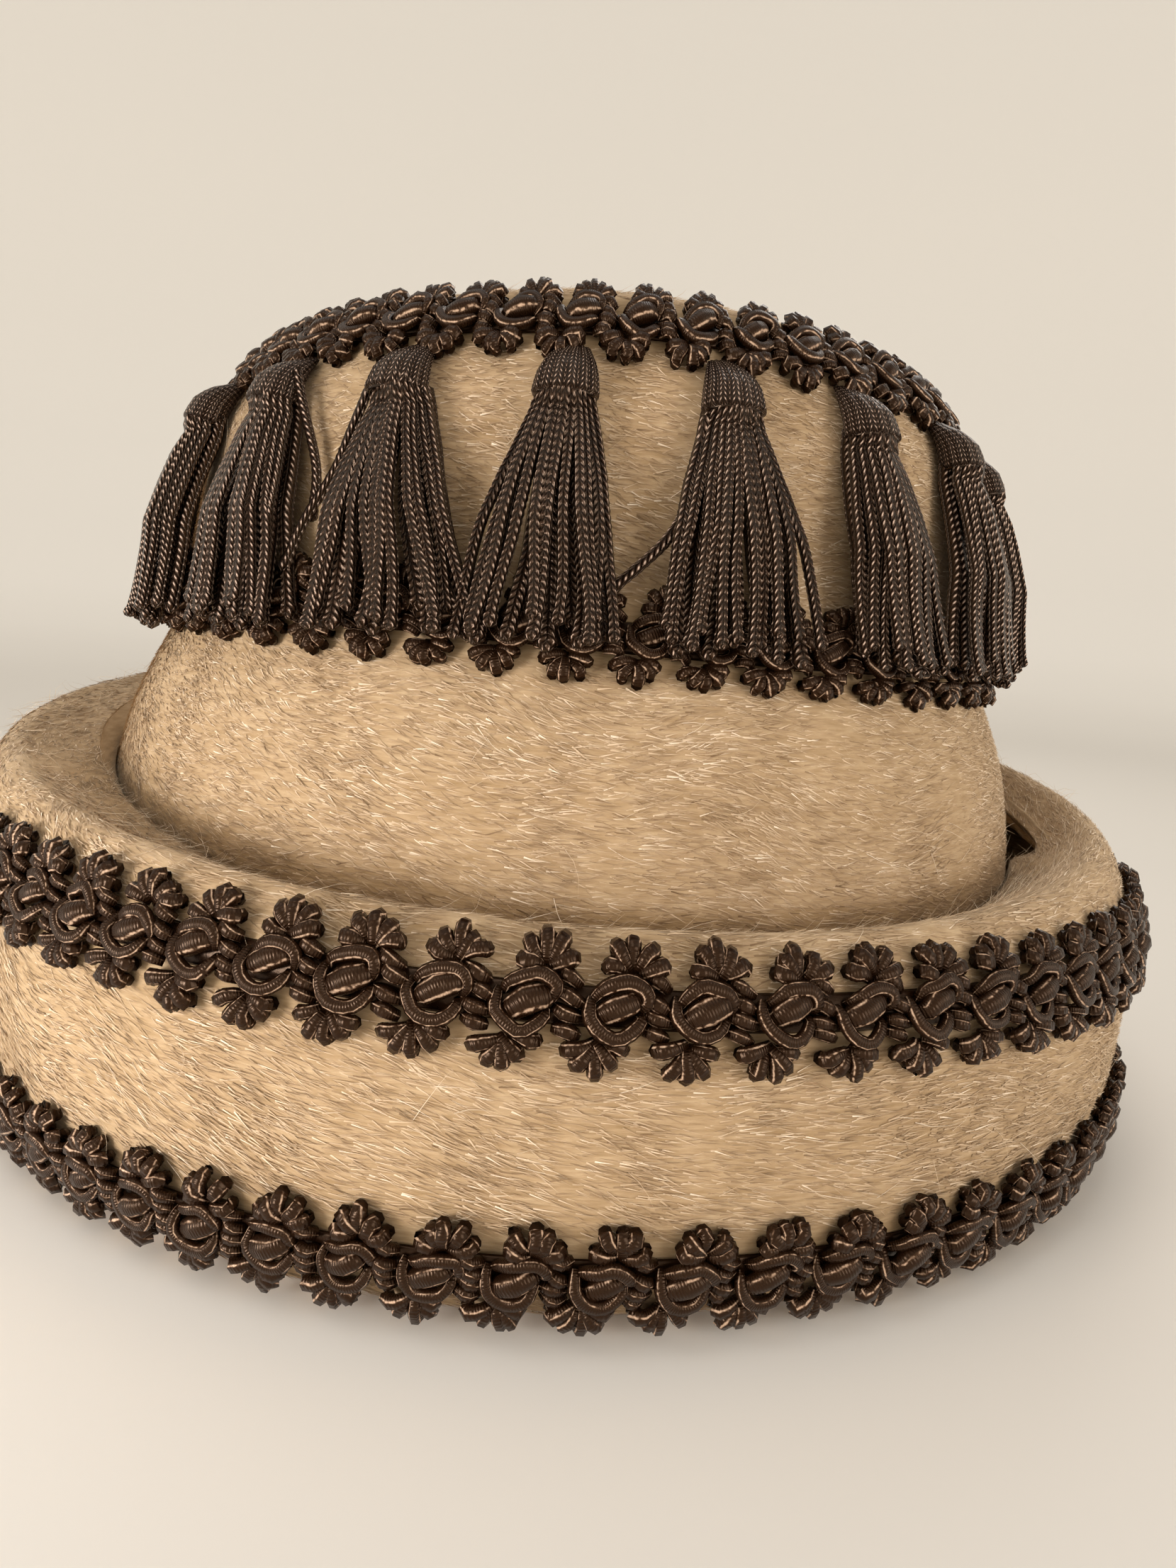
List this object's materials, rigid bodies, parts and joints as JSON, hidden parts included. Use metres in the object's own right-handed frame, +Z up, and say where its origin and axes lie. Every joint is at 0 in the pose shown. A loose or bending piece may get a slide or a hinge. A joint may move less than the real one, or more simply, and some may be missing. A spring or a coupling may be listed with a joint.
{
  "type": "tall felt hat with a turned-up cuff brim and tassels",
  "caption": "Tall domed felt hat with a turned-up rolled cuff brim, rings of scroll braid around crown and brim, and braid-cord tassels hanging around the crown.",
  "frame": {"origin": "middle of the head opening, on the plane that the fold of the brim rests on", "axes": "+Z up through the crown, -X towards the front of the hat, which is a guess, and the picture's view looks along +Y"},
  "size_m": [0.2484, 0.2421, 0.1567],
  "materials": {
    "felt": "long-nap tan fur felt",
    "braid": "dark brown silky scroll gimp braid",
    "tassel_cord": "dark brown silky plaited cord"
  },
  "bodies": {
    "root": {"crown": "felt", "brim": "felt", "top_braid": "braid", "waist_braid": "braid", "brim_upper_braid": "braid", "brim_lower_braid": "braid", "tassel_01": "tassel_cord", "tassel_02": "tassel_cord", "tassel_03": "tassel_cord", "tassel_04": "tassel_cord", "tassel_05": "tassel_cord", "tassel_06": "tassel_cord", "tassel_07": "tassel_cord", "tassel_08": "tassel_cord", "tassel_09": "tassel_cord", "tassel_10": "tassel_cord", "tassel_11": "tassel_cord", "tassel_12": "tassel_cord", "tassel_13": "tassel_cord", "tassel_14": "tassel_cord", "tassel_15": "tassel_cord", "tassel_16": "tassel_cord", "tassel_17": "tassel_cord", "tassel_18": "tassel_cord"}
  },
  "joints": []
}
